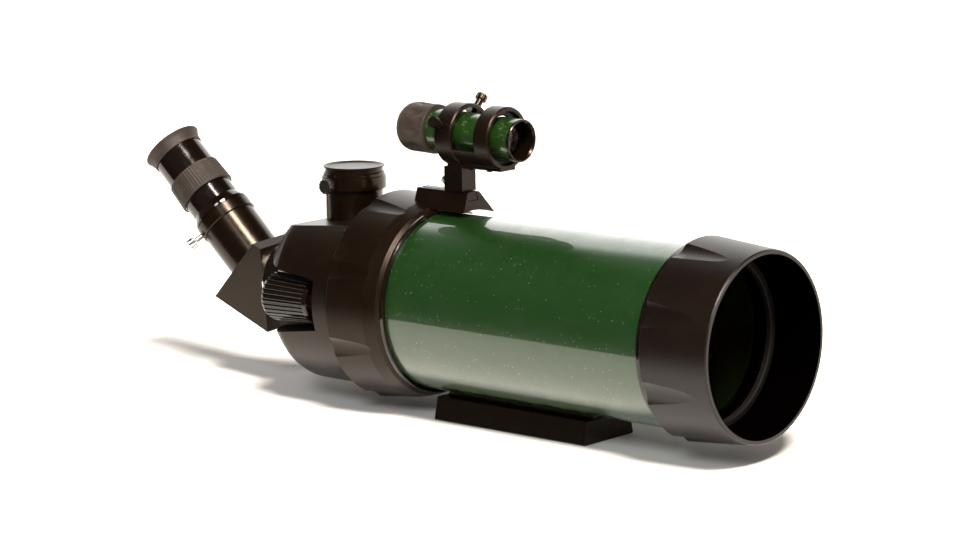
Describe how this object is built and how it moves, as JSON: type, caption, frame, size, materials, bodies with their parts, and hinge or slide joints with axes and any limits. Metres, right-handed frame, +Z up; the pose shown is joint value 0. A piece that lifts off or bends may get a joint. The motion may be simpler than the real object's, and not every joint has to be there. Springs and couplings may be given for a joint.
{
  "type": "maksutov telescope",
  "caption": "Short closed-tube telescope with a meniscus front lens, moving-mirror focuser, flip mirror back, angled eyepiece, small finder scope and dovetail bar.",
  "frame": {"origin": "centre of the tripod thread's mouth, in the middle of the dovetail bar's bottom face", "axes": "+X along the optical axis towards the sky, +Y to the left of someone looking the same way, +Z up"},
  "size_m": [0.4675, 0.1253, 0.189],
  "materials": {
    "cell_black": "fine pebbled texture",
    "gloss_black": "glossy",
    "tube_green": "deep green metallic enamel with fine flake",
    "finder_green": "green metallic enamel with coarse flake",
    "anodised_black": "satin black anodising",
    "baffle_black": "flat black",
    "bare_aluminium": "machined",
    "corrector_glass": "coated, clear",
    "lens_glass": "coated, clear",
    "mirror_coat": "polished",
    "screw_steel": "turned",
    "black_steel": "black oxide",
    "chrome": "polished",
    "brass": "turned",
    "rubber_black": "soft matte"
  },
  "bodies": {
    "telescope": {"front_cell": "cell_black", "corrector_retainer": "baffle_black", "front_neck_ring": "gloss_black", "corrector_lens": "corrector_glass", "secondary_mirror_spot": "mirror_coat", "secondary_baffle": "baffle_black", "optical_tube": "tube_green", "rear_seal_ring": "gloss_black", "rear_cell": "cell_black", "rear_cell_screws": "black_steel", "primary_baffle": "baffle_black", "rear_cover": "cell_black", "focus_bush": "brass", "top_port": "anodised_black", "rear_port": "anodised_black", "rear_lock_ring": "gloss_black", "dovetail_bar": "anodised_black", "tube_saddle": "cell_black", "dovetail_bar_screws": "black_steel", "finder_shoe": "cell_black", "finder_shoe_screws": "black_steel"},
    "mirror_group": {"primary_mirror": "mirror_coat", "mirror_carrier": "bare_aluminium", "mirror_clamp_ring": "baffle_black", "focus_rod": "screw_steel"},
    "focus_drive": {"focus_knob": "gloss_black", "focus_nut": "brass"},
    "flip_group": {"flip_mirror": "mirror_coat", "flip_mirror_frame": "baffle_black", "flip_axle": "screw_steel", "flip_lever": "cell_black"},
    "cap": {"port_cap": "cell_black"},
    "port_screw": {"port_thumbscrew": "chrome"},
    "diagonal": {"diagonal_nose": "chrome", "diagonal_body": "cell_black", "diagonal_prism": "lens_glass", "eyepiece_holder": "anodised_black", "holder_collar": "anodised_black"},
    "holder_screw": {"eyepiece_thumbscrew": "chrome"},
    "eyepiece": {"eyepiece_barrel": "chrome", "eyepiece_body": "gloss_black", "eyepiece_grip": "rubber_black", "field_stop": "baffle_black", "field_lens": "lens_glass", "eye_lens": "lens_glass", "eyecup": "rubber_black"},
    "finder_mount": {"finder_bracket_stem": "cell_black", "finder_rings": "cell_black", "finder_bracket_screws": "black_steel", "finder_support_ring": "rubber_black"},
    "finder_clamp": {"finder_clamp_screw": "chrome"},
    "screw_left": {"finder_screw_left": "black_steel"},
    "screw_right": {"finder_screw_right": "black_steel"},
    "plunger": {"finder_plunger": "chrome"},
    "finder": {"finder_tube": "finder_green", "finder_objective_cell": "gloss_black", "finder_objective": "lens_glass", "finder_reticle": "lens_glass"},
    "finder_eyepiece": {"finder_focus_grip": "rubber_black", "finder_eye_lens": "lens_glass"}
  },
  "joints": [
    {"name": "focus_turn", "type": "hinge", "parent": "telescope", "child": "focus_drive", "pos_m": [-0.143, -0.0405, 0.065], "axis": [1, 0, 0], "range_deg": [-1803.6, 1803.6]},
    {"name": "mirror_focus", "type": "slide", "parent": "telescope", "child": "mirror_group", "axis": [1, 0, 0], "range_m": [-0.005, 0.005]},
    {"name": "flip_turn", "type": "hinge", "parent": "telescope", "child": "flip_group", "pos_m": [-0.1235, 0, 0.0455], "axis": [0, 1, 0], "range_deg": [0, 45]},
    {"name": "cap_lift", "type": "slide", "parent": "telescope", "child": "cap", "axis": [0, 0, 1], "range_m": [0, 0.02]},
    {"name": "port_screw_out", "type": "slide", "parent": "telescope", "child": "port_screw", "axis": [0, -1, 0], "range_m": [0, 0.003]},
    {"name": "diagonal_swivel", "type": "hinge", "parent": "telescope", "child": "diagonal", "pos_m": [-0.183, 0, 0.0665], "axis": [1, 0, 0], "continuous": true},
    {"name": "eyepiece_slide", "type": "slide", "parent": "diagonal", "child": "eyepiece", "axis": [-0.7071, -0.0616, 0.7044], "range_m": [0, 0.03]},
    {"name": "holder_screw_out", "type": "slide", "parent": "diagonal", "child": "holder_screw", "axis": [-0.4822, -0.6865, -0.5442], "range_m": [0, 0.003]},
    {"name": "finder_slide", "type": "slide", "parent": "telescope", "child": "finder_mount", "axis": [1, 0, 0], "range_m": [0, 0.03]},
    {"name": "finder_clamp_out", "type": "slide", "parent": "finder_mount", "child": "finder_clamp", "axis": [-0.7431, 0, 0.6691], "range_m": [0, 0.003]},
    {"name": "finder_tilt", "type": "hinge", "parent": "finder_mount", "child": "finder", "pos_m": [-0.0219, 0, 0.1661], "axis": [0, 1, 0], "range_deg": [-1.2, 1.2]},
    {"name": "finder_screw_left_slide", "type": "slide", "parent": "finder_mount", "child": "screw_left", "axis": [0, 0.6626, 0.749], "range_m": [-0.000464, 0.000464]},
    {"name": "finder_screw_right_slide", "type": "slide", "parent": "finder_mount", "child": "screw_right", "axis": [0, -0.9304, 0.3665], "range_m": [-0.000227, 0.000227]},
    {"name": "finder_plunger_slide", "type": "slide", "parent": "finder_mount", "child": "plunger", "axis": [0, 0, 1], "range_m": [-0.00062, 0.00062]},
    {"name": "finder_focus", "type": "hinge", "parent": "finder", "child": "finder_eyepiece", "pos_m": [-0.08038, 0, 0.16763], "axis": [0.9997, 0, -0.0262], "range_deg": [-90, 90]}
  ],
  "couplings": [
    {"joint": "focus_turn", "follows": "mirror_focus", "rad_per_m": 6283.2},
    {"joint": "finder_screw_left_slide", "follows": "finder_tilt", "m_per_rad": 0.02172},
    {"joint": "finder_screw_right_slide", "follows": "finder_tilt", "m_per_rad": 0.010629},
    {"joint": "finder_plunger_slide", "follows": "finder_tilt", "m_per_rad": 0.029}
  ]
}
